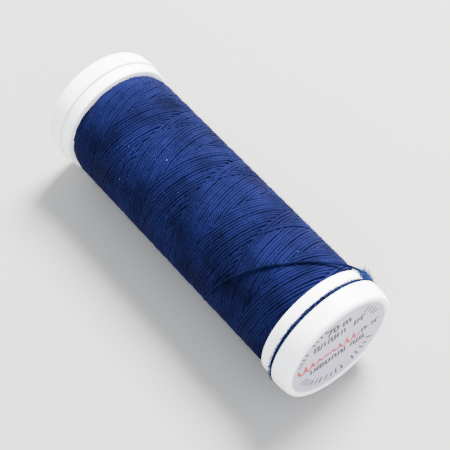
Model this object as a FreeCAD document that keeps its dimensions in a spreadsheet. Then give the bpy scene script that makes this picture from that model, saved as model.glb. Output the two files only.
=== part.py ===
import FreeCAD, Part
import math
import os
import re
import Sketcher
from FreeCAD import Placement, Rotation, Vector

# A spool of sewing thread lying on its side, in millimetres. The spool's axis runs along X at the
# flanges' radius above Z = 0, with the labelled near end at +X and the pin hole's mouth at -X.
# Both ends are the same three mouldings, so each is drawn once in a frame of its own, with +X
# pointing out of the end it belongs to, and placed again half a turn about Z for the far end. The
# near cap is held off its closed place by the thread in its lock, and the far cap is pushed home.

SIZES = {
    "open_length": 60.6,             # over both end caps, with both thread locks open
    "flange_radius": 10.35,          # widest part of an end cap, at its groove side
    "cap_thickness": 3.25,           # end cap, from the groove to the face
    "cap_face_radius": 9.95,         # end cap where its side meets the face
    "cap_side_arc": 10.6,            # radius of the curve that the cap's side follows
    "cap_edge_round": 0.6,
    "cap_wall": 1.2,                 # cylindrical wall of the dished cap
    "plate_thickness": 1.0,          # floor of the dish, behind the label
    "rib_thickness": 0.8,
    "rib_setback": 0.6,              # ribs stop this far short of the groove
    "seat_radius": 9.05,             # round recess for the label
    "seat_depth": 0.4,
    "seat_edge_round": 0.12,
    "label_thickness": 0.12,
    "label_gap": 0.1,                # between the label's edge and the recess wall
    "label_hole_radius": 3.6,
    "groove_width": 0.75,            # thread lock between end cap and inner disc, open
    "closed_gap": 0.2,               # the same, when the cap is pushed home
    "disc_thickness": 2.0,
    "disc_radius": 10.1,             # inner disc at the groove
    "disc_back_radius": 10.0,        # inner disc at the winding
    "disc_edge_round": 0.15,
    "head_bore_radius": 3.85,        # guides the cap's skirt
    "spigot_radius": 4.9,            # pressed into the barrel
    "spigot_length": 6.0,
    "collar_length": 1.6,
    "pin_radius": 3.2,               # hole for the machine's spool pin, through caps and collars
    "skirt_radius": 3.8,
    "skirt_clearance": 0.4,          # skirt's end to collar when the cap is closed
    "slit_width": 1.0,               # slits that let the skirt's fingers spring
    "slit_length": 4.3,
    "barb_radius": 4.15,
    "barb_length": 1.2,
    "barb_angle": 30.0,
    "barb_lead": 0.6,
    "slot_depth_radius": 4.25,       # slots in the head's bore that the barbs ride in
    "slot_angle": 33.0,
    "slot_end_gap": 0.2,
    "cap_travel": 1.8,
    "tube_radius": 5.6,              # barrel that the thread is wound on
    "winding_radius": 9.7,
    "winding_end_radius": 9.25,
    "winding_shoulder": 2.0,         # length over which the package narrows to its ends
    "thread_diameter": 0.4,
}

FINGERS = 4
RIBS = 6

# Distances out from the middle of the spool, along its axis.
FACE = "open_length / 2"
SEAT = "open_length / 2 - seat_depth"
DISH = "open_length / 2 - seat_depth - plate_thickness"
CAP_INNER = "open_length / 2 - cap_thickness"
DISC_OUTER = "open_length / 2 - cap_thickness - groove_width"
DISC_INNER = "open_length / 2 - cap_thickness - groove_width - disc_thickness"
SPIGOT_END = DISC_INNER + " - spigot_length"
COLLAR_END = SPIGOT_END + " + collar_length"
CAP_LIFT = "(groove_width - closed_gap)"
SKIRT_END = COLLAR_END + " + skirt_clearance + " + CAP_LIFT
BARB_END = SKIRT_END + " + barb_length"

# Last strand of thread, in order from where it leaves the winding: distance along the axis, angle
# about the axis from straight up towards -Y in degrees, and radius. It crosses the winding, rides
# over the edge of the inner disc and drops into the near thread lock.
STRAND = [
    (9.9, 107, 9.6),
    (11.2, 87, 10.0),
    (12.5, 67, 10.06),
    (14.1, 47, 10.06),
    (16.1, 27, 10.06),
    (18.5, 7, 10.06),
    (20.8, -13, 10.06),
    (22.4, -28, 10.12),
    (23.6, -41, 10.3),
    (24.7, -51, 10.42),
    (25.75, -60, 10.45),
    (26.45, -70, 10.38),
]
# It goes twice round the lock: a turn near the rim, and on into a deeper one on the cap's side.
WRAP_START = -84                     # degrees
WRAP_STEP = 20
WRAP_POINTS = 35
WRAP_UPPER = (26.52, 10.14)          # distance along the axis and radius
WRAP_LOWER = (26.83, 9.87)
FIRST_TURN_POINTS = 17               # the next two points lead down to the deeper turn

doc = FreeCAD.newDocument("thread_spool")
sheet = doc.addObject("Spreadsheet::Sheet", "Sizes")
for row, (alias, size) in enumerate(SIZES.items(), start=1):
    sheet.set(f"A{row}", alias)
    sheet.set(f"B{row}", str(size))
    sheet.setAlias(f"B{row}", alias)
doc.recompute()


def bound(expression):
    """The expression with each size's alias named as a cell of the sheet."""
    return re.sub(r"[a-z][a-z_]*", r"Sizes.\g<0>", expression)


def value(expression):
    return float(sheet.evalExpression(bound(expression)))


def new_body(node, far=False, slides=False):
    """A body on the spool's axis, turned to the far end where asked.

    At the far end a body that slides with the cap is pushed home.
    """
    body = doc.addObject("PartDesign::Body", node)
    body.Label = node
    body.Placement = Placement(Vector(0, 0, 0), Rotation(Vector(0, 0, 1), 180 if far else 0))
    body.setExpression("Placement.Base.z", bound("flange_radius"))
    if far and slides:
        body.setExpression("Placement.Base.x", bound(CAP_LIFT))
    return body


def origin_feature(body, role):
    return next(item for item in body.Origin.OriginFeatures if item.Role == role)


def new_sketch(body, name):
    """A sketch in the plane of the axis: its horizontal axis is the spool's, its vertical is radius."""
    sketch = body.newObject("Sketcher::SketchObject", name)
    sketch.AttachmentSupport = (origin_feature(body, "XZ_Plane"), [""])
    sketch.MapMode = "FlatFace"
    return sketch


def pin_corner(sketch, kind, corner, expression):
    """Hold one coordinate of a corner at a distance from the sketch's origin."""
    if expression == "0":
        axis = -1 if kind == "DistanceY" else -2
        sketch.addConstraint(Sketcher.Constraint("PointOnObject", corner, 1, axis))
        return
    number = sketch.addConstraint(Sketcher.Constraint(kind, -1, 1, corner, 1, value(expression)))
    sketch.setExpression(f"Constraints[{number}]", bound(expression))


def draw_outline(sketch, corners, arcs=None):
    """Close a loop anticlockwise through corners, each a distance along the axis and a radius.

    arcs gives, for the side that starts at a corner, the radius of the outward curve it follows.
    """
    arcs = arcs or {}
    points = [Vector(value(along), value(radius), 0) for along, radius in corners]
    for index, start in enumerate(points):
        end = points[(index + 1) % len(points)]
        if index not in arcs:
            sketch.addGeometry(Part.LineSegment(start, end))
            continue
        radius = value(arcs[index])
        chord = end - start
        outward = Vector(chord.y, -chord.x, 0).normalize()
        sagitta = radius - math.sqrt(radius ** 2 - (chord.Length / 2) ** 2)
        sketch.addGeometry(Part.Arc(start, (start + end) / 2 + outward * sagitta, end))
    for index in range(len(corners)):
        following = (index + 1) % len(corners)
        sketch.addConstraint(Sketcher.Constraint("Coincident", index, 2, following, 1))
    for index, (along, radius) in enumerate(corners):
        pin_corner(sketch, "DistanceX", index, along)
        pin_corner(sketch, "DistanceY", index, radius)
    for index, radius in arcs.items():
        number = sketch.addConstraint(Sketcher.Constraint("Radius", index, value(radius)))
        sketch.setExpression(f"Constraints[{number}]", bound(radius))


def revolve(body, name, corners, arcs=None):
    """A solid of revolution about the spool's axis."""
    sketch = new_sketch(body, name + "_outline")
    draw_outline(sketch, corners, arcs)
    solid = body.newObject("PartDesign::Revolution", name)
    solid.Profile = sketch
    solid.ReferenceAxis = (sketch, ["H_Axis"])
    solid.Angle = 360
    doc.recompute()
    return solid


def sector(body, kind, name, corners, angle):
    """Part of a revolution, centred on the XZ plane: it adds or cuts, as kind says."""
    sketch = new_sketch(body, name + "_outline")
    draw_outline(sketch, corners)
    feature = body.newObject(kind, name)
    feature.Profile = sketch
    feature.ReferenceAxis = (sketch, ["H_Axis"])
    feature.Midplane = True
    feature.setExpression("Angle", bound(angle))
    doc.recompute()
    return feature


def plate(body, kind, name, corners, thickness):
    """A flat plate or cut in the plane of the axis, as thick as stated, centred on it."""
    sketch = new_sketch(body, name + "_outline")
    draw_outline(sketch, corners)
    feature = body.newObject(kind, name)
    feature.Profile = sketch
    feature.Midplane = True
    feature.setExpression("Length", bound(thickness))
    doc.recompute()
    return feature


def around_axis(body, name, feature, count):
    """Repeat a feature evenly about the spool's axis."""
    pattern = body.newObject("PartDesign::PolarPattern", name)
    pattern.Originals = [feature]
    pattern.Axis = (origin_feature(body, "X_Axis"), [""])
    pattern.Angle = 360
    pattern.Occurrences = count
    body.Tip = pattern
    doc.recompute()
    return pattern


def round_edge(body, name, along, radius, size):
    """Fillet the circular edge at a distance along the axis and a radius."""
    base = body.Tip
    found = []
    for number, edge in enumerate(base.Shape.Edges, start=1):
        if not isinstance(edge.Curve, Part.Circle):
            continue
        at_place = abs(edge.Curve.Center.x - value(along)) < 0.001
        if at_place and abs(edge.Curve.Radius - value(radius)) < 0.001:
            found.append(f"Edge{number}")
    if not found:
        raise RuntimeError(f"{name}: no edge to round")
    fillet = body.newObject("PartDesign::Fillet", name)
    fillet.Base = (base, found)
    fillet.setExpression("Radius", bound(size))
    doc.recompute()
    return fillet


def make_cap(node, far):
    """Dished end cap: wall, plate with a label seat, ribs, and a slit skirt with snap barbs."""
    body = new_body(node, far, slides=True)
    rim_bore = "flange_radius - cap_wall"
    revolve(body, node + "_dish", [
        (SKIRT_END, "pin_radius"),
        (SEAT, "pin_radius"),
        (SEAT, "seat_radius"),
        (FACE, "seat_radius"),
        (FACE, "cap_face_radius"),
        (CAP_INNER, "flange_radius"),
        (CAP_INNER, rim_bore),
        (DISH, rim_bore),
        (DISH, "skirt_radius"),
        (SKIRT_END, "skirt_radius"),
    ], arcs={4: "cap_side_arc"})
    round_edge(body, node + "_outer_round", FACE, "cap_face_radius", "cap_edge_round")
    round_edge(body, node + "_seat_round", FACE, "seat_radius", "seat_edge_round")
    overlap = "0.1"
    rib = plate(body, "PartDesign::Pad", node + "_rib", [
        (CAP_INNER + " + rib_setback", "skirt_radius - " + overlap),
        (DISH + " + " + overlap, "skirt_radius - " + overlap),
        (DISH + " + " + overlap, rim_bore + " + " + overlap),
        (CAP_INNER + " + rib_setback", rim_bore + " + " + overlap),
    ], "rib_thickness")
    around_axis(body, node + "_ribs", rib, RIBS)
    barb = sector(body, "PartDesign::Revolution", node + "_barb", [
        (SKIRT_END, "skirt_radius - " + overlap),
        (BARB_END, "skirt_radius - " + overlap),
        (BARB_END, "barb_radius"),
        (SKIRT_END + " + barb_lead", "barb_radius"),
        (SKIRT_END, "skirt_radius"),
    ], "barb_angle")
    around_axis(body, node + "_barbs", barb, FINGERS)
    slit = plate(body, "PartDesign::Pocket", node + "_slit", [
        (SKIRT_END + " - " + overlap, "0"),
        (SKIRT_END + " + slit_length", "0"),
        (SKIRT_END + " + slit_length", "barb_radius + " + overlap),
        (SKIRT_END + " - " + overlap, "barb_radius + " + overlap),
    ], "slit_width")
    turn_between_barbs(slit)
    around_axis(body, node + "_slits", slit, FINGERS)
    return body


def turn_between_barbs(feature):
    """Turn a feature's sketch half a finger about the axis, so that it lies between two barbs."""
    sketch = feature.Profile[0]
    sketch.AttachmentOffset = Placement(Vector(0, 0, 0), Rotation(Vector(1, 0, 0), 180 / FINGERS))
    doc.recompute()


def make_head(node, far):
    """Inner disc with a spigot for the barrel, a bore for the cap's skirt and a collar for the pin."""
    body = new_body(node, far)
    revolve(body, node + "_turned", [
        (SPIGOT_END, "pin_radius"),
        (COLLAR_END, "pin_radius"),
        (COLLAR_END, "head_bore_radius"),
        (DISC_OUTER, "head_bore_radius"),
        (DISC_OUTER, "disc_radius"),
        (DISC_INNER, "disc_back_radius"),
        (DISC_INNER, "spigot_radius"),
        (SPIGOT_END, "spigot_radius"),
    ])
    round_edge(body, node + "_front_round", DISC_OUTER, "disc_radius", "disc_edge_round")
    round_edge(body, node + "_back_round", DISC_INNER, "disc_back_radius", "disc_edge_round")
    slot_start = SKIRT_END + " - slot_end_gap - " + CAP_LIFT
    slot_end = BARB_END + " + cap_travel + slot_end_gap"
    slot = sector(body, "PartDesign::Groove", node + "_slot", [
        (slot_start, "pin_radius"),
        (slot_end, "pin_radius"),
        (slot_end, "slot_depth_radius"),
        (slot_start, "slot_depth_radius"),
    ], "slot_angle")
    around_axis(body, node + "_slots", slot, FINGERS)
    return body


def make_tube(node):
    """Plain barrel between the two inner discs."""
    body = new_body(node)
    revolve(body, node + "_wall", [
        ("-(" + DISC_INNER + ")", "spigot_radius"),
        (DISC_INNER, "spigot_radius"),
        (DISC_INNER, "tube_radius"),
        ("-(" + DISC_INNER + ")", "tube_radius"),
    ])
    return body


def make_label(node, far, hole):
    """Round paper label on the cap's seat, with or without a hole for the pin."""
    body = new_body(node, far, slides=True)
    revolve(body, node + "_disc", [
        (SEAT, hole),
        (SEAT + " + label_thickness", hole),
        (SEAT + " + label_thickness", "seat_radius - label_gap"),
        (SEAT, "seat_radius - label_gap"),
    ])
    return body


def make_winding(node):
    """The wound thread as one closed package, narrowing a little at both ends."""
    body = new_body(node)
    shoulder = DISC_INNER + " - winding_shoulder"
    revolve(body, node + "_package", [
        ("-(" + DISC_INNER + ")", "tube_radius"),
        (DISC_INNER, "tube_radius"),
        (DISC_INNER, "winding_end_radius"),
        (shoulder, "winding_radius"),
        ("-(" + shoulder + ")", "winding_radius"),
        ("-(" + DISC_INNER + ")", "winding_end_radius"),
    ])
    return body


def on_spool(along, degrees, radius):
    """A point at an angle about the spool's axis, from straight up towards -Y."""
    turn = math.radians(degrees)
    return Vector(along, -radius * math.sin(turn), radius * math.cos(turn))


def wrap_place(step):
    """A point of the turns in the thread lock, as a distance along the axis, an angle and a radius."""
    share = min(max((step + 1 - FIRST_TURN_POINTS) / 2, 0), 1)
    along, radius = (upper + (lower - upper) * share for upper, lower in zip(WRAP_UPPER, WRAP_LOWER))
    return along, WRAP_START - WRAP_STEP * step, radius


def tail_route():
    wrap = [wrap_place(step) for step in range(WRAP_POINTS)]
    return [on_spool(*place) for place in STRAND + wrap]


def rounded_path(points):
    """Straight runs through the points, joined by the largest tangent arcs that fit."""
    edges = []
    last = points[0]
    for before, corner, after in zip(points, points[1:], points[2:]):
        back = (before - corner).normalize()
        ahead = (after - corner).normalize()
        reach = 0.45 * min((before - corner).Length, (after - corner).Length)
        half_turn = (math.pi - back.getAngle(ahead)) / 2
        radius = reach / math.tan(half_turn)
        print(f"thread arc radius {radius:.2f}, turn {math.degrees(2 * half_turn):.1f} degrees")
        start = corner + back * reach
        end = corner + ahead * reach
        inward = (back + ahead).normalize()
        middle = corner + inward * (radius / math.cos(half_turn) - radius)
        edges.append(Part.LineSegment(last, start).toShape())
        edges.append(Part.Arc(start, middle, end).toShape())
        last = end
    edges.append(Part.LineSegment(last, points[-1]).toShape())
    return Part.Wire(edges)


def make_tail(node):
    """The last strand of thread, as a plain round tube along its route."""
    thread_radius = value("thread_diameter") / 2
    path = rounded_path(tail_route())
    start = path.Edges[0]
    section = Part.Wire(Part.Circle(start.Vertexes[0].Point, start.tangentAt(0), thread_radius).toShape())
    tube = path.makePipeShell([section], True, True)
    expected = math.pi * thread_radius ** 2 * path.Length
    print(f"thread tail: length {path.Length:.2f}, volume {tube.Volume:.3f}, expected {expected:.3f}")
    if abs(tube.Volume - expected) > 0.02 * expected:
        raise RuntimeError("the thread's tube doesn't have its section along its whole length")
    tail = doc.addObject("Part::Feature", node)
    tail.Label = node
    tail.Shape = tube
    tail.Placement = Placement(Vector(0, 0, value("flange_radius")), Rotation())
    return tail


pieces = [
    make_tube("barrel_tube"),
    make_head("near_flange_head", far=False),
    make_head("far_flange_head", far=True),
    make_cap("near_cap", far=False),
    make_cap("far_cap", far=True),
    make_label("near_label", far=False, hole="0"),
    make_label("far_label", far=True, hole="label_hole_radius"),
    make_winding("thread_winding"),
    make_tail("thread_tail"),
]
doc.recompute()

for item in doc.Objects:
    if "Invalid" in item.State or "Error" in item.State:
        raise RuntimeError(f"{item.Name} failed: {item.State}")
for piece in pieces:
    if piece.Shape.isNull() or not piece.Shape.isValid():
        raise RuntimeError(f"{piece.Label} has no valid shape")
    if len(piece.Shape.Solids) != 1:
        raise RuntimeError(f"{piece.Label} is {len(piece.Shape.Solids)} solids")

os.makedirs("parts", exist_ok=True)
for piece in pieces:
    piece.Shape.exportStep(f"parts/{piece.Label}.step")
    box = piece.Shape.BoundBox
    print(f"{piece.Label}: volume {piece.Shape.Volume:.2f}, X {box.XMin:.2f} to {box.XMax:.2f}, "
          f"Y {box.YMin:.2f} to {box.YMax:.2f}, Z {box.ZMin:.2f} to {box.ZMax:.2f}")
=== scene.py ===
import math

import bmesh
import bpy
import numpy as np
from mathutils import Matrix, Vector


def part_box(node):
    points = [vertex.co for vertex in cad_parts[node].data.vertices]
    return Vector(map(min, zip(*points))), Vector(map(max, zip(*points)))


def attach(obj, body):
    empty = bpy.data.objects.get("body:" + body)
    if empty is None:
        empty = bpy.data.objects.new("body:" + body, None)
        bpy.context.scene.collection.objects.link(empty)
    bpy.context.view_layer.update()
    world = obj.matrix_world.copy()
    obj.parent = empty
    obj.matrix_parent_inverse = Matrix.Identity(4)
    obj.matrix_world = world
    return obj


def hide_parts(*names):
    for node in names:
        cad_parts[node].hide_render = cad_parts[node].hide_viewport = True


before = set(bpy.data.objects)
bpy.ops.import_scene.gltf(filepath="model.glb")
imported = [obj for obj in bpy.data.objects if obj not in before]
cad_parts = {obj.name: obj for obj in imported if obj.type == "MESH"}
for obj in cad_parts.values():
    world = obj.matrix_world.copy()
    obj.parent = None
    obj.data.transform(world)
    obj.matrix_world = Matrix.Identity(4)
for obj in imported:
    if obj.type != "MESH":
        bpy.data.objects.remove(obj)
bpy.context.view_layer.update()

MM = 0.001
random = np.random.default_rng(30)

# Places read from the frame, in millimetres. The spool's axis runs along X.
winding_low, winding_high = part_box("thread_winding")
AXIS_Z = (winding_low.z + winding_high.z) / 2 / MM
WINDING_RADIUS = (winding_high.z - winding_low.z) / 2 / MM
WINDING_END = winding_high.x / MM
LABEL_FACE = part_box("near_label")[1].x / MM
BARREL_RADIUS = (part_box("barrel_tube")[1].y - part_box("barrel_tube")[0].y) / 2 / MM


# The thread itself: plies twisted together.
PLIES = 3
TWIST = 1.15                          # length in which the plies turn once


# ---------------------------------------------------------------- camera, floor and light

CAMERA_BEARING, CAMERA_TILT = 51.323, 55.417      # degrees
CAMERA_DISTANCE = 0.2297
CAMERA_RIGHT, CAMERA_DOWN = 0.002095, 0.001373    # off the middle of the spool
CAMERA_LENS, CAMERA_SENSOR = 117.9, 36
FLOOR_COLOUR = (0.25, 0.247, 0.243, 1)
SKY_COLOUR, SKY_STRENGTH = (0.93, 0.96, 1, 1), 2.5


def camera_axes(azimuth, elevation):
    """Right, up and back of a camera that looks down at the spool from a bearing."""
    a, e = math.radians(azimuth), math.radians(elevation)
    back = Vector((math.sin(a) * math.cos(e), -math.cos(a) * math.cos(e), math.sin(e)))
    right = Vector((math.cos(a), math.sin(a), 0))
    return right, back.cross(right), back


def add_camera():
    right, up, back = camera_axes(CAMERA_BEARING, CAMERA_TILT)
    middle = Vector((0, 0, AXIS_Z * MM))
    camera = bpy.data.objects.new("camera", bpy.data.cameras.new("camera"))
    bpy.context.scene.collection.objects.link(camera)
    camera.data.lens = CAMERA_LENS
    camera.data.sensor_width = CAMERA_SENSOR
    camera.data.clip_start = 0.01
    camera.location = middle + back * CAMERA_DISTANCE + right * CAMERA_RIGHT - up * CAMERA_DOWN
    camera.rotation_euler = Matrix((right, up, back)).transposed().to_euler()
    bpy.context.scene.camera = camera


def add_area_light(name, toward, distance, size, power, colour):
    """A square soft light at a distance from the spool, facing it."""
    light = bpy.data.objects.new(name, bpy.data.lights.new(name, "AREA"))
    bpy.context.scene.collection.objects.link(light)
    light.data.shape = "SQUARE"
    light.data.size = size
    light.data.energy = power
    light.data.color = colour
    direction = Vector(toward).normalized()
    light.location = Vector((0, 0, AXIS_Z * MM)) + direction * distance
    light.rotation_euler = direction.to_track_quat("Z", "Y").to_euler()


def add_stage():
    """A plain pale floor under a plain soft sky, a large soft key light and a weak fill."""
    bpy.ops.mesh.primitive_plane_add(size=2.4, location=(0, 0, 0))
    floor = bpy.context.object
    floor.name = "floor"
    material = bpy.data.materials.new("floor_pale")
    material.use_nodes = True
    shader = material.node_tree.nodes["Principled BSDF"]
    shader.inputs["Base Color"].default_value = FLOOR_COLOUR
    shader.inputs["Roughness"].default_value = 0.85
    floor.data.materials.append(material)
    world = bpy.data.worlds.new("soft_sky")
    world.use_nodes = True
    background = world.node_tree.nodes["Background"]
    background.inputs["Color"].default_value = SKY_COLOUR
    background.inputs["Strength"].default_value = SKY_STRENGTH
    bpy.context.scene.world = world
    add_area_light("key_light", (-0.25, 0.7, 1.0), 0.5, 0.2, 28.0, (1, 0.985, 0.95))
    add_area_light("fill_light", (0.9, -0.5, 0.6), 0.6, 0.4, 3.4, (0.92, 0.95, 1))


# ---------------------------------------------------------------- helpers for meshes

def add_mesh(name, vertices, faces, material, smooth=True):
    """A mesh piece from vertices in millimetres."""
    mesh = bpy.data.meshes.new(name)
    mesh.vertices.add(len(vertices))
    mesh.vertices.foreach_set("co", (np.asarray(vertices, dtype=float) * MM).ravel())
    sizes = [len(face) for face in faces]
    mesh.loops.add(sum(sizes))
    mesh.loops.foreach_set("vertex_index", np.concatenate([np.asarray(face) for face in faces]))
    mesh.polygons.add(len(faces))
    starts = np.concatenate([[0], np.cumsum(sizes)[:-1]])
    mesh.polygons.foreach_set("loop_start", starts)
    mesh.polygons.foreach_set("use_smooth", [smooth] * len(faces))
    mesh.update(calc_edges=True)
    mesh.validate()
    mesh.materials.append(material)
    piece = bpy.data.objects.new(name, mesh)
    bpy.context.scene.collection.objects.link(piece)
    return piece


def tube_faces(rings, sides):
    """Faces of a closed tube of rings of vertices, with an end cap at each end."""
    ring, side = np.meshgrid(np.arange(rings - 1), np.arange(sides), indexing="ij")
    following = (side + 1) % sides
    quads = np.stack([
        ring * sides + side,
        ring * sides + following,
        (ring + 1) * sides + following,
        (ring + 1) * sides + side,
    ], axis=-1).reshape(-1, 4)
    first_cap = np.arange(sides)[::-1]
    last_cap = np.arange(sides) + (rings - 1) * sides
    return [*quads, first_cap, last_cap]


def thread_coordinates(piece, lengths, sides):
    """UVs of a tube: distance along it in millimetres, and turns round it from 0 to 1."""
    layer = piece.data.uv_layers.new(name="along_and_round")
    rings = len(lengths)
    ring, side = np.meshgrid(np.arange(rings - 1), np.arange(sides), indexing="ij")
    near, far = lengths[ring], lengths[ring + 1]
    low, high = side / sides, (side + 1) / sides
    quads = np.stack([near, low, near, high, far, high, far, low], axis=-1).reshape(-1)
    caps = np.concatenate([
        np.stack([np.full(sides, lengths[0]), np.zeros(sides)], axis=-1).ravel(),
        np.stack([np.full(sides, lengths[-1]), np.zeros(sides)], axis=-1).ravel(),
    ])
    layer.data.foreach_set("uv", np.concatenate([quads, caps]))


def sweep(centres, across, outward, half_width, half_height, sides):
    """Vertices of an oval tube round centres, with the oval's axes along across and outward."""
    angles = 2 * math.pi * np.arange(sides) / sides
    ring = (np.cos(angles)[None, :, None] * across[:, None, :] * half_width
            + np.sin(angles)[None, :, None] * outward[:, None, :] * half_height)
    return (centres[:, None, :] + ring).reshape(-1, 3)


def unit(vectors):
    return vectors / np.linalg.norm(vectors, axis=-1, keepdims=True)


def on_spool(along, degrees, radius):
    """Points at an angle about the spool's axis, from straight up towards -Y, in millimetres."""
    turn = np.radians(degrees)
    return np.stack([
        np.broadcast_to(along, np.shape(turn)),
        -radius * np.sin(turn),
        AXIS_Z + radius * np.cos(turn),
    ], axis=-1)


# ---------------------------------------------------------------- materials

def new_material(name):
    material = bpy.data.materials.new(name)
    material.use_nodes = True
    nodes, links = material.node_tree.nodes, material.node_tree.links
    return material, nodes, links, nodes["Principled BSDF"]


def math_node(nodes, links, operation, first, second=None):
    """A Math node of one or two inputs, each a socket or a number; returns its output."""
    node = nodes.new("ShaderNodeMath")
    node.operation = operation
    for socket, source in zip(node.inputs, (first, second)):
        if source is None:
            continue
        if isinstance(source, (int, float)):
            socket.default_value = source
        else:
            links.new(source, socket)
    return node.outputs[0]


def noise(nodes, links, vector, scale, detail=2.0, roughness=0.5):
    node = nodes.new("ShaderNodeTexNoise")
    node.inputs["Scale"].default_value = scale
    node.inputs["Detail"].default_value = detail
    node.inputs["Roughness"].default_value = roughness
    links.new(vector, node.inputs["Vector"])
    return node.outputs["Fac"]


def ramp(nodes, links, factor, stops):
    """A colour ramp with stops of (position, (r, g, b))."""
    node = nodes.new("ShaderNodeValToRGB")
    elements = node.color_ramp.elements
    while len(elements) < len(stops):
        elements.new(0.5)
    for element, (position, colour) in zip(elements, stops):
        element.position = position
        element.color = (*colour, 1)
    links.new(factor, node.inputs["Fac"])
    return node.outputs["Color"]


def bump(nodes, links, shader, height, distance):
    node = nodes.new("ShaderNodeBump")
    node.inputs["Distance"].default_value = distance
    node.inputs["Strength"].default_value = 1.0
    links.new(height, node.inputs["Height"])
    links.new(node.outputs["Normal"], shader.inputs["Normal"])


def weighted_sum(nodes, links, parts):
    """The sum of sockets, each times its share."""
    total = None
    for socket, share in parts:
        part = math_node(nodes, links, "MULTIPLY", socket, share)
        total = part if total is None else math_node(nodes, links, "ADD", total, part)
    return total


def thread_material(name, dark, light, ply_bump):
    """Spun polyester: plies that twist along the strand, mottled fibres and a soft sheen. The seams between
    plies are darkened in colour as painted shade, and the large mottle is partly random tone and partly
    painted reflection.
    """
    material, nodes, links, shader = new_material(name)
    uv = nodes.new("ShaderNodeUVMap")
    uv.uv_map = "along_and_round"
    split = nodes.new("ShaderNodeSeparateXYZ")
    links.new(uv.outputs["UV"], split.inputs["Vector"])
    along, round_strand = split.outputs["X"], split.outputs["Y"]
    plies = math_node(nodes, links, "MULTIPLY", round_strand, float(PLIES))
    twist = math_node(nodes, links, "MULTIPLY", along, PLIES / TWIST)
    phase = math_node(nodes, links, "MULTIPLY", math_node(nodes, links, "ADD", plies, twist), math.pi)
    groove = math_node(nodes, links, "ABSOLUTE", math_node(nodes, links, "SINE", phase))
    place = nodes.new("ShaderNodeTexCoord").outputs["Object"]
    fibres = noise(nodes, links, place, 9000, 3, 0.65)
    tone_and_sheen_patches = noise(nodes, links, place, 420, 3, 0.6)
    mottle = noise(nodes, links, place, 150, 3, 0.6)
    # Painted shade and reflection: the ply profile darkens the seams between plies, and the two large
    # noises give random tone and also painted light and dark patches where strands face the light
    # differently
    blend = weighted_sum(nodes, links, [(groove, 0.34), (fibres, 1.1), (tone_and_sheen_patches, 0.3), (mottle, 1.3)])
    blend = math_node(nodes, links, "SUBTRACT", blend, 0.95)
    middle = tuple((a + b) / 2 for a, b in zip(dark, light))
    colour = ramp(nodes, links, blend, [(0.3, dark), (0.56, middle), (0.86, light)])
    links.new(colour, shader.inputs["Base Color"])
    bump(nodes, links, shader, weighted_sum(nodes, links, [(groove, 1.0), (fibres, 0.55)]), ply_bump)
    shader.inputs["Roughness"].default_value = 0.8
    shader.inputs["Specular IOR Level"].default_value = 0.08
    shader.inputs["Specular Tint"].default_value = (0.3, 0.36, 1, 1)
    shader.inputs["Sheen Weight"].default_value = 0.012
    shader.inputs["Sheen Roughness"].default_value = 0.4
    shader.inputs["Sheen Tint"].default_value = (0.15, 0.3, 1, 1)
    return material


def plastic_material():
    """White moulded polystyrene: faint mottle, a fine moulded grain and patchy polish."""
    material, nodes, links, shader = new_material("spool_plastic")
    place = nodes.new("ShaderNodeTexCoord").outputs["Object"]
    mottle = noise(nodes, links, place, 160, 4, 0.55)
    grain = noise(nodes, links, place, 2600, 3, 0.6)
    scuffs = noise(nodes, links, place, 620, 6, 0.7)
    links.new(ramp(nodes, links, mottle, [
        (0.3, (0.9, 0.91, 0.95)), (0.7, (0.955, 0.96, 0.975))]), shader.inputs["Base Color"])
    rough = nodes.new("ShaderNodeMapRange")
    rough.inputs["From Min"].default_value = 0.35
    rough.inputs["From Max"].default_value = 0.7
    rough.inputs["To Min"].default_value = 0.3
    rough.inputs["To Max"].default_value = 0.48
    links.new(scuffs, rough.inputs["Value"])
    links.new(rough.outputs["Result"], shader.inputs["Roughness"])
    bump(nodes, links, shader, weighted_sum(nodes, links, [(grain, 0.4), (scuffs, 1.0)]), 0.00002)
    shader.inputs["IOR"].default_value = 1.5
    shader.inputs["Subsurface Weight"].default_value = 0.12
    shader.inputs["Subsurface Radius"].default_value = (1, 0.9, 0.8)
    shader.inputs["Subsurface Scale"].default_value = 0.001
    return material


def paper_material():
    """Matt label paper, lavender grey, with fibre mottle."""
    material, nodes, links, shader = new_material("label_paper")
    place = nodes.new("ShaderNodeTexCoord").outputs["Object"]
    mottle = noise(nodes, links, place, 900, 5, 0.6)
    fibre = noise(nodes, links, place, 5200, 4, 0.7)
    tone = weighted_sum(nodes, links, [(mottle, 0.6), (fibre, 0.4)])
    links.new(ramp(nodes, links, tone, [
        (0.3, (0.36, 0.335, 0.42)), (0.7, (0.43, 0.405, 0.485))]), shader.inputs["Base Color"])
    bump(nodes, links, shader, tone, 0.00003)
    shader.inputs["Roughness"].default_value = 0.62
    return material


def ink_material(name, dark, light):
    """Printing ink, thin in places."""
    material, nodes, links, shader = new_material(name)
    place = nodes.new("ShaderNodeTexCoord").outputs["Object"]
    wear = noise(nodes, links, place, 3400, 4, 0.7)
    links.new(ramp(nodes, links, wear, [(0.42, dark), (0.72, light)]), shader.inputs["Base Color"])
    bump(nodes, links, shader, wear, 0.000004)
    shader.inputs["Roughness"].default_value = 0.55
    return material


def core_material():
    """The winding's deeper layers, without plies, coloured a little darker than the strands as painted
    shade in the gaps between them.
    """
    material, nodes, links, shader = new_material("thread_navy_deep")
    place = nodes.new("ShaderNodeTexCoord").outputs["Object"]
    fibres = noise(nodes, links, place, 5000, 4, 0.65)
    # painted shade: this colour stands in for the shadow between strands, not for a darker thread
    colour = ramp(nodes, links, fibres, [
        (0.35, (0.001, 0.0016, 0.012)),
        (0.7, (0.003, 0.0048, 0.032)),
    ])
    links.new(colour, shader.inputs["Base Color"])
    bump(nodes, links, shader, fibres, 0.0001)
    shader.inputs["Roughness"].default_value = 0.9
    return material


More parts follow.
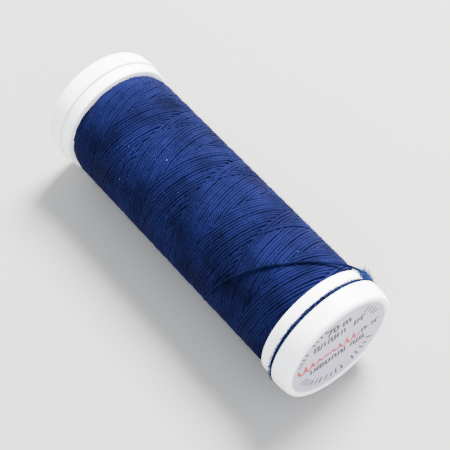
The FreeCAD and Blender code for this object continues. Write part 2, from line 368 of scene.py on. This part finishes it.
thread_look = thread_material("thread_navy", (0.0004, 0.0006, 0.0045), (0.004, 0.0048, 0.035), 0.00005)
tail_look = thread_material("thread_navy_tail", (0.0005, 0.0009, 0.007), (0.0055, 0.0085, 0.05), 0.00002)
# The loose hairs and the rim fray are lighter copies of the navy thread: painted highlight, for thin fibres
# that catch the light
lit_hair_look = thread_material("thread_hairs", (0.006, 0.01, 0.045), (0.024, 0.04, 0.15), 0.000005)
lit_fray_look = thread_material("thread_fray", (0.012, 0.022, 0.09), (0.05, 0.085, 0.26), 0.000005)
lint_look = thread_material("lint_pale", (0.2, 0.24, 0.36), (0.45, 0.48, 0.6), 0.000005)
core_look = core_material()
plastic = plastic_material()
paper = paper_material()
black_ink = ink_material("ink_black", (0.003, 0.003, 0.007), (0.018, 0.016, 0.028))
red_ink = ink_material("ink_red", (0.33, 0.004, 0.012), (0.45, 0.03, 0.05))


# ---------------------------------------------------------------- the winding

# One thread is laid to and fro along the spool. Its place along the spool is a wave with rounded
# tips. Distances round the spool are counted in PITCH: the length along the spool that the thread
# moves in one turn. Each trip to and fro falls one thread's spacing short of 8 whole turns, so that
# PASSES trips cover the package once both ways.
PASSES = 26
WAVE_TIP = WINDING_END + 0.2          # sharp tip of the wave, which the rounding brings inside
TIP_ROUND = 0.83                      # half width of the rounded tip
PITCH = 4 * WAVE_TIP / (8 - 1 / PASSES)
SPACING = PITCH / PASSES
PATTERN_ANGLE = 12.0                  # degrees from straight up, where the pattern's corners lie
STEPS_PER_TURN = 80
STRAND_SIDES = 10
HALF_WIDTH, HALF_HEIGHT = 0.234, 0.2
SINK = 0.34                           # how much deeper a strand lies where another crosses over it
SHOULDER = 2.0
SHOULDER_DROP = 0.45
CORNER = WAVE_TIP - 2 * PITCH + PITCH * PATTERN_ANGLE / 360
START = -WAVE_TIP - CORNER - SPACING / 2     # distance already turned when the first pass begins


def wave(distance):
    """Place along the spool after a distance round it, and +1 on the way out or -1 on the way back."""
    trip = np.mod(distance, 4 * WAVE_TIP)
    outward = trip < 2 * WAVE_TIP
    sharp = np.where(outward, trip - WAVE_TIP, 3 * WAVE_TIP - trip)
    from_tip = np.abs(np.mod(distance + WAVE_TIP * 2, 2 * WAVE_TIP))
    from_tip = np.minimum(from_tip, 2 * WAVE_TIP - from_tip)
    rounded = WAVE_TIP - (from_tip ** 2 + TIP_ROUND ** 2) / (2 * TIP_ROUND)
    place = np.where(from_tip < TIP_ROUND, np.sign(sharp) * rounded, sharp)
    return place, np.where(outward, 1, -1)


def smooth_step(value, middle, half):
    t = np.clip((value - middle) / (2 * half) + 0.5, 0, 1)
    return t * t * (3 - 2 * t)


def top_radius(along):
    """Radius of the package's surface, which narrows towards both ends."""
    narrowing = smooth_step(np.abs(along), WINDING_END - SHOULDER / 2, SHOULDER / 2)
    return WINDING_RADIUS - SHOULDER_DROP * narrowing


def strand_depth(distance, along, way):
    """How far a strand lies under the package's surface, 0 on top and SINK beneath a crossing.

    A strand lies on those that were laid before it and under those laid after it. The crossing
    strands number 0 to PASSES along it, in the order in which they were laid.
    """
    trip = np.floor(distance / (4 * WAVE_TIP))
    turned = distance + START
    first_out = -WAVE_TIP - START
    first_back = 3 * WAVE_TIP + START
    crossing_out = np.mod(first_back - (along + turned), PITCH) / SPACING
    crossing_back = np.mod((along - turned) - first_out, PITCH) / SPACING
    crossing = np.where(way > 0, crossing_out, crossing_back)
    last_under = np.where(way > 0, trip - 0.5, trip + 0.5)
    soft = 0.85
    above = smooth_step(crossing, -0.5, soft) * (1 - smooth_step(crossing, last_under, soft))
    above = np.maximum(above, smooth_step(crossing, PASSES - 0.5, soft) * (last_under > 0.5))
    return SINK * (1 - above)


def stray(distance, rate, phase):
    """A slow wave along the thread, from -1 to 1, that differs from one pass to the next."""
    return np.sin(distance * rate + phase * np.floor(distance / (2 * WAVE_TIP)))


def strand_piece(name, first_trip, last_trip):
    """The thread of a run of trips, as one closed tube."""
    count = int((last_trip - first_trip) * 4 * WAVE_TIP / PITCH * STEPS_PER_TURN)
    distance = np.linspace(first_trip, last_trip, count) * 4 * WAVE_TIP
    along, way = wave(distance)
    wander = 0.035 * stray(distance, 0.37, 1.3) + 0.03 * stray(distance, 1.9, 2.7)
    swell = 1 + 0.05 * stray(distance, 0.83, 4.1) + 0.04 * stray(distance, 5.3, 0.7)
    depth = strand_depth(distance, along, way) + 0.035 * (1 + stray(distance, 0.61, 5.3))
    radius = top_radius(along) - HALF_HEIGHT - depth
    degrees = -360 * (distance + START) / PITCH
    centres = on_spool(along + wander, degrees, radius)
    outward = unit(centres - on_spool(along + wander, degrees, 0 * radius))
    ahead = unit(np.gradient(centres, axis=0))
    across = unit(np.cross(outward, ahead))
    half_width = (HALF_WIDTH * swell)[:, None, None]
    vertices = sweep(centres, across, outward, half_width, HALF_HEIGHT, STRAND_SIDES)
    piece = add_mesh(name, vertices, tube_faces(count, STRAND_SIDES), thread_look)
    lengths = np.concatenate([[0], np.cumsum(np.linalg.norm(np.diff(centres, axis=0), axis=1))])
    thread_coordinates(piece, lengths, STRAND_SIDES)
    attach(piece, "spool")
    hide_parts("thread_winding")


def core_piece():
    """The deeper layers, as one closed ring whose surface shows only between strands."""
    places = np.linspace(-WINDING_END + 0.02, WINDING_END - 0.02, 160)
    outer = top_radius(places) - 2 * HALF_HEIGHT - SINK * 0.55
    profile = [*zip(places, outer), (places[-1], BARREL_RADIUS + 0.01), (places[0], BARREL_RADIUS + 0.01)]
    turns = 120
    rows = []
    for step in range(turns):
        degrees = np.full(len(profile), 360 * step / turns)
        rows.append(on_spool(np.array([p[0] for p in profile]), degrees, np.array([p[1] for p in profile])))
    vertices = np.concatenate(rows)
    width = len(profile)
    faces = []
    for step in range(turns):
        following = (step + 1) % turns
        for place in range(width):
            beyond = (place + 1) % width
            faces.append((step * width + place, following * width + place,
                          following * width + beyond, step * width + beyond))
    piece = add_mesh("winding_core", vertices, faces, core_look)
    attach(piece, "spool")
    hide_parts("thread_winding")


# ---------------------------------------------------------------- the last strand

STRAND = [
    (9.9, 107, 9.6),
    (11.2, 87, 10.0),
    (12.5, 67, 10.06),
    (14.1, 47, 10.06),
    (16.1, 27, 10.06),
    (18.5, 7, 10.06),
    (20.8, -13, 10.06),
    (22.4, -28, 10.12),
    (23.6, -41, 10.3),
    (24.7, -51, 10.42),
    (25.75, -60, 10.45),
    (26.45, -70, 10.38),
]
WRAP_START, WRAP_STEP, WRAP_POINTS = -84, 20, 35
WRAP_UPPER, WRAP_LOWER = (26.52, 10.14), (26.83, 9.87)
FIRST_TURN_POINTS = 17


def wrap_place(step):
    """A point of the two turns in the thread lock: distance along the axis, angle and radius."""
    share = min(max((step + 1 - FIRST_TURN_POINTS) / 2, 0), 1)
    along, radius = (upper + (lower - upper) * share for upper, lower in zip(WRAP_UPPER, WRAP_LOWER))
    return along, WRAP_START - WRAP_STEP * step, radius


def tail_line():
    """The last strand's centreline, read from the NURBS spline through its route's points."""
    wrap = [wrap_place(step) for step in range(WRAP_POINTS)]
    route = [on_spool(*place) for place in STRAND + wrap]
    curve = bpy.data.curves.new("tail_route", "CURVE")
    curve.dimensions = "3D"
    spline = curve.splines.new("NURBS")
    spline.points.add(len(route) - 1)
    for point, place in zip(spline.points, route):
        point.co = (*(place * MM), 1)
    spline.order_u = 3
    spline.use_endpoint_u = True
    spline.resolution_u = 12
    holder = bpy.data.objects.new("tail_route", curve)
    mesh = bpy.data.meshes.new_from_object(holder)
    points = np.array([vertex.co[:] for vertex in mesh.vertices]) / MM
    bpy.data.objects.remove(holder)
    bpy.data.meshes.remove(mesh)
    bpy.data.curves.remove(curve)
    return points


def evenly(points, step):
    """The same line with its points a step apart."""
    lengths = np.concatenate([[0], np.cumsum(np.linalg.norm(np.diff(points, axis=0), axis=1))])
    count = int(lengths[-1] / step) + 1
    wanted = np.linspace(0, lengths[-1], count)
    return np.stack([np.interp(wanted, lengths, points[:, k]) for k in range(3)], axis=-1), wanted


def tail_piece():
    """The last strand: three plies twisted together, which part at the cut end."""
    centres, lengths = evenly(tail_line(), 0.09)
    ahead = unit(np.gradient(centres, axis=0))
    middle = np.stack([centres[:, 0], 0 * centres[:, 1], 0 * centres[:, 2] + AXIS_Z], axis=-1)
    outward = centres - middle
    outward = unit(outward - ahead * np.sum(outward * ahead, axis=1, keepdims=True))
    across = np.cross(outward, ahead)
    ply_radius, ply_offset = 0.115, 0.1
    fray = np.clip((lengths - lengths[-1] + 1.3) / 1.3, 0, 1) ** 1.5
    sides = 8
    vertices, faces = [], []
    for ply in range(PLIES):
        turn = 2 * math.pi * (lengths / TWIST + ply / PLIES)
        offset = ply_offset * (1 + 0.9 * fray)[:, None]
        line = centres + offset * (np.cos(turn)[:, None] * across + np.sin(turn)[:, None] * outward)
        shape = (ply_radius * (1 - 0.35 * fray))[:, None, None]
        angles = 2 * math.pi * np.arange(sides) / sides
        ring = (np.cos(angles)[None, :, None] * across[:, None, :]
                + np.sin(angles)[None, :, None] * outward[:, None, :])
        start = len(vertices) * len(centres) * sides
        vertices.append((line[:, None, :] + ring * shape).reshape(-1, 3))
        faces += [face + start for face in tube_faces(len(centres), sides)]
    piece = add_mesh("thread_tail_plies", np.concatenate(vertices), faces, tail_look)
    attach(piece, "spool")
    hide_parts("thread_tail")
    return centres, outward


# ---------------------------------------------------------------- loose hairs of fibre

HAIR_SIDES = 3
TABLE_GAP = 0.03                      # least height of a hair above the table
CAP_BACK, CAP_RIM = 27.0, 10.42       # near cap: its inner face along the axis, and just past its rim
LOCK_PLACES, LOCK_RADII = (26.2, 26.93), (10.14, 10.34)
FRAY_START, FRAY_LENGTH = 25.1, 1.5   # along the axis
FRAY_ANGLE, FRAY_SPREAD = -47, 13     # degrees
FRAY_RADII = (10.2, 10.5)


def is_clear(line):
    """Whether a hair stays above the table and short of the near cap, or above its edge."""
    radius = np.hypot(line[:, 1], line[:, 2] - AXIS_Z)
    off_cap = (line[:, 0] < CAP_BACK) | (radius > CAP_RIM)
    return bool(np.all(line[:, 2] > TABLE_GAP) and np.all(off_cap))


def hair_tube(line, across, outward, thick):
    """Vertices of one fibre along a line, with its thickness at each point."""
    angles = 2 * math.pi * np.arange(HAIR_SIDES) / HAIR_SIDES
    ring = np.cos(angles)[None, :, None] * across + np.sin(angles)[None, :, None] * outward[:, None, :]
    return (line[:, None, :] + ring * thick[:, None, None]).reshape(-1, 3)


def hairs_piece(name, tubes, steps, material):
    """Fibres as one piece, each a thin closed three-sided tube."""
    one = tube_faces(steps, HAIR_SIDES)
    faces = [face + number * steps * HAIR_SIDES for number in range(len(tubes)) for face in one]
    piece = add_mesh(name, np.concatenate(tubes), faces, material)
    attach(piece, "spool")


def bent_hairs(name, roots, directions, lengths, radius, material):
    """Fibres that bend to one side."""
    steps = 6
    tubes = []
    for root, direction, length in zip(roots, directions, lengths):
        side = unit(np.cross(direction, random.normal(size=3)))
        t = np.linspace(0, 1, steps)[:, None]
        bend = random.uniform(0.2, 0.9)
        line = root + direction * length * t * (1 - 0.3 * bend * t) + side * length * bend * t * t
        if is_clear(line):
            across = unit(np.cross(side, direction))
            thick = radius * (1 - 0.6 * t[:, 0])
            tubes.append(hair_tube(line, across, np.tile(side, (steps, 1)), thick))
    hairs_piece(name, tubes, steps, material)


def curled_hairs(name, roots, directions, lengths, radius, material):
    """Fibres that curl over like a hook."""
    steps = 9
    tubes = []
    for root, direction, length in zip(roots, directions, lengths):
        side = unit(np.cross(direction, random.normal(size=3)))
        across = unit(np.cross(side, direction))
        turn = np.linspace(0, random.uniform(1.2, 4.4), steps)[:, None]
        reach = length / turn[-1]
        drift = random.uniform(-0.25, 0.25) * length * np.linspace(0, 1, steps)[:, None]
        line = root + reach * (np.sin(turn) * direction + (1 - np.cos(turn)) * side) + drift * across
        if is_clear(line):
            outward = -np.sin(turn) * direction + np.cos(turn) * side
            tubes.append(hair_tube(line, across, outward, radius * np.linspace(1, 0.5, steps)))
    hairs_piece(name, tubes, steps, material)


def rim_fray():
    """The tuft that the strand raises where it bends over the rim into the thread lock."""
    kinds = {                         # count, radius, shortest and longest
        "rim_fray_hairs": (300, 0.026, 0.5, 1.5),
        "rim_fray_curls": (110, 0.05, 0.6, 1.4),
        "rim_fray_plies": (12, 0.09, 0.9, 1.8),
    }
    for name, (count, radius, shortest, longest) in kinds.items():
        along = FRAY_START + FRAY_LENGTH * random.uniform(0, 1, count) + random.uniform(-0.25, 0.25, count)
        degrees = FRAY_ANGLE - FRAY_SPREAD * random.uniform(0, 1, count)
        roots = on_spool(along, degrees, random.uniform(*FRAY_RADII, count))
        outward = unit(roots - on_spool(along, degrees, np.zeros(count)))
        directions = unit(random.normal(size=(count, 3)) * (0.8, 1, 1) + outward * 0.5)
        curled_hairs(name, roots, directions, random.uniform(shortest, longest, count), radius, lit_fray_look)


def groove_hairs(count):
    """Fibres of the turns in the thread lock that stand up in its mouth."""
    degrees = random.uniform(0, 360, count)
    along = random.uniform(*LOCK_PLACES, count)
    roots = on_spool(along, degrees, random.uniform(*LOCK_RADII, count))
    outward = unit(roots - on_spool(along, degrees, np.zeros(count)))
    round_axis = np.cross(outward, (1.0, 0, 0)) * random.choice([-1, 1], count)[:, None]
    directions = unit(round_axis + outward * random.uniform(0.0, 0.25, (count, 1)))
    curled_hairs("groove_hairs", roots, directions, random.uniform(0.25, 0.6, count), 0.036, lit_hair_look)


def lint(count):
    """Pale specks of dust caught on the winding, each a short crumpled fibre."""
    along = random.uniform(-WINDING_END + 1.0, WINDING_END - 1.0, count)
    degrees = random.uniform(0, 360, count)
    roots = on_spool(along, degrees, top_radius(along) + 0.01)
    outward = unit(roots - on_spool(along, degrees, 0 * along))
    lean = random.normal(size=(count, 3))
    lean -= outward * np.sum(lean * outward, axis=1, keepdims=True)
    curled_hairs("lint", roots, unit(lean), random.uniform(0.15, 0.4, count), 0.026, lint_look)


def winding_hairs(name, count):
    along = random.uniform(-WINDING_END + 1.0, WINDING_END - 1.0, count)
    degrees = random.uniform(0, 360, count)
    roots = on_spool(along, degrees, top_radius(along) - 0.06)
    outward = unit(roots - on_spool(along, degrees, 0 * along))
    lean = random.normal(size=(count, 3))
    lean -= outward * np.sum(lean * outward, axis=1, keepdims=True)
    directions = unit(unit(lean) + outward * random.uniform(0.05, 0.7, (count, 1)))
    bent_hairs(name, roots, directions, random.uniform(0.25, 1.0, count), 0.013, lit_hair_look)


def tail_hairs(centres, outward, count):
    picks = random.integers(20, len(centres) - 1, count)
    lean = random.normal(size=(count, 3))
    directions = unit(lean + outward[picks] * 0.9)
    roots = centres[picks] + directions * 0.14
    keep = centres[picks][:, 0] < 26.0
    lengths = random.uniform(0.15, 0.5, count)
    bent_hairs("tail_hairs", roots[keep], directions[keep], lengths[keep], 0.01, lit_hair_look)


# ---------------------------------------------------------------- the labels

INK_RAISE, INK_SINK = 0.012, 0.02
INK_STEP = 0.002                      # keeps the tops of overlapping strokes out of one plane


def flat_piece(name, outlines, material, body, face, outward=1):
    """Flat printed shapes: each outline is a convex loop of (right, up) seen from outside the end."""
    vertices, faces = [], []
    for number, outline in enumerate(outlines):
        count = len(outline)
        start = len(vertices)
        for depth in (-INK_SINK, INK_RAISE + INK_STEP * (number % 4)):
            vertices += [(face + outward * depth, outward * right, AXIS_Z + up) for right, up in outline]
        low = list(range(start, start + count))
        high = list(range(start + count, start + 2 * count))
        loops = [low[::-1], high]
        for index in range(count):
            following = (index + 1) % count
            loops.append([low[index], low[following], high[following], high[index]])
        faces += [loop if outward > 0 else loop[::-1] for loop in loops]
    piece = add_mesh(name, vertices, faces, material, smooth=False)
    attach(piece, body)
    return piece


def tick(right, up, width, height, lean=0.0, turn=0.0):
    """A slim upright mark centred at a place on the label, turned about its own centre."""
    corners = [(-width / 2 - lean, -height / 2), (width / 2 - lean, -height / 2),
               (width / 2 + lean, height / 2), (-width / 2 + lean, height / 2)]
    cos, sin = math.cos(turn), math.sin(turn)
    return [(right + x * cos - y * sin, up + x * sin + y * cos) for x, y in corners]


def tick_row(start, end, up, height, step, gaps):
    """A row of marks that stands in for a line of print; gaps are the word spaces."""
    marks = []
    right = start
    while right < end:
        if not any(low < right < high for low, high in gaps):
            lean = random.uniform(-0.12, 0.12)
            size = height * random.uniform(0.8, 1.0)
            marks.append(tick(right, up, random.uniform(0.3, 0.4), size, lean))
            if random.random() < 0.6:
                bar_up = up + random.choice([-0.38, 0.0, 0.38]) * height
                marks.append(tick(right + step / 2, bar_up, step, 0.28))
        right += step * random.uniform(0.85, 1.15)
    return marks


def tick_arc(radius, start, end, height, step, inward, gaps=()):
    """Marks round the label's edge; inward marks have their feet towards the label's middle."""
    marks = []
    angle = start
    while angle < end:
        turn = math.radians(angle)
        facing = turn - math.pi / 2 if inward else turn + math.pi / 2
        if not any(low < angle < high for low, high in gaps):
            marks.append(tick(radius * math.cos(turn), radius * math.sin(turn), random.uniform(0.24, 0.34),
                              height * random.uniform(0.75, 1.0), random.uniform(-0.1, 0.1), facing))
        angle += math.degrees(step / radius) * random.uniform(0.85, 1.25)
    return marks


def scribble(start, end, up, height, waves, width):
    """A plain red wavy stroke, as quads along a wave that grows and shrinks."""
    steps = waves * 12
    places = np.linspace(start, end, steps + 1)
    phase = np.linspace(0, 2 * math.pi * waves, steps + 1)
    size = 0.6 + 0.4 * np.sin(np.linspace(0.4, 9.0, steps + 1))
    line = np.stack([places + 0.25 * np.cos(phase), up + height / 2 * size * np.sin(phase)], axis=-1)
    ahead = unit(np.gradient(line, axis=0))
    side = np.stack([-ahead[:, 1], ahead[:, 0]], axis=-1) * width / 2
    return [[tuple(line[i] - side[i]), tuple(line[i + 1] - side[i + 1]),
             tuple(line[i + 1] + side[i + 1]), tuple(line[i] + side[i])] for i in range(steps)]


def number_piece(name, text, right, up, height, material, body, face):
    """Plain numerals as a flat closed mesh on the near label."""
    curve = bpy.data.curves.new(name, "FONT")
    curve.body = text
    curve.size = height / 0.7 * MM
    curve.align_x = "CENTER"
    curve.align_y = "CENTER"
    curve.offset = 0.00006 * height
    curve.extrude = (INK_RAISE + INK_SINK) / 2 * MM
    curve.resolution_u = 3
    holder = bpy.data.objects.new(name, curve)
    mesh = bpy.data.meshes.new_from_object(holder)
    bpy.data.objects.remove(holder)
    bpy.data.curves.remove(curve)
    mesh.name = name
    depth = face + (INK_RAISE - INK_SINK) / 2
    to_end = Matrix((
        (0, 0, 1, depth * MM),
        (1, 0, 0, right * MM),
        (0, 1, 0, (AXIS_Z + up) * MM),
        (0, 0, 0, 1),
    ))
    mesh.transform(to_end)
    closed = bmesh.new()
    closed.from_mesh(mesh)
    bmesh.ops.remove_doubles(closed, verts=closed.verts, dist=0.0005 * MM)
    bmesh.ops.recalc_face_normals(closed, faces=closed.faces)
    closed.to_mesh(mesh)
    closed.free()
    mesh.materials.clear()
    mesh.materials.append(material)
    piece = bpy.data.objects.new(name, mesh)
    bpy.context.scene.collection.objects.link(piece)
    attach(piece, body)


def print_near_label():
    number_piece("print_length", "70 m", -0.3, 6.1, 1.6, black_ink, "near_end", LABEL_FACE)
    rows = tick_row(-4.8, 4.8, 4.0, 1.65, 0.66, [(1.5, 2.4)])
    rows += tick_row(-5.2, 5.3, -1.9, 1.4, 0.6, [(1.8, 2.6)])
    rows += tick_row(4.6, 7.9, 0.1, 1.15, 0.62, [(5.6, 6.2)])
    rows += tick_arc(7.2, 205, 335, 1.5, 0.98, inward=False, gaps=[(281, 290)])
    rows += tick_arc(7.7, 112, 168, 0.95, 0.86, inward=True, gaps=[(136, 142)])
    rows += tick_arc(7.5, 24, 50, 1.3, 1.1, inward=True)
    flat_piece("print_marks", rows, black_ink, "near_end", LABEL_FACE)
    wavy_stroke = scribble(-8.0, 3.9, 0.15, 1.8, 9, 0.42)
    flat_piece("print_red_wave", wavy_stroke, red_ink, "near_end", LABEL_FACE)


def dress_frame():
    """Materials for the CAD nodes that stay."""
    looks = {
        "barrel_tube": plastic,
        "near_flange_head": plastic,
        "far_flange_head": plastic,
        "near_cap": plastic,
        "far_cap": plastic,
        "near_label": paper,
        "far_label": paper,
    }
    for node, look in looks.items():
        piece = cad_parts[node]
        piece.data.materials.clear()
        piece.data.materials.append(look)


add_camera()
add_stage()
dress_frame()
core_piece()
GROUPS = 4
for group in range(GROUPS):
    first, last = PASSES * group / GROUPS, PASSES * (group + 1) / GROUPS
    strand_piece(f"winding_strands_{group + 1}", first, last)
tail_centres, tail_outward = tail_piece()
winding_hairs("winding_hairs_1", 4200)
winding_hairs("winding_hairs_2", 4200)
tail_hairs(tail_centres, tail_outward, 420)
rim_fray()
groove_hairs(1500)
lint(18)
print_near_label()
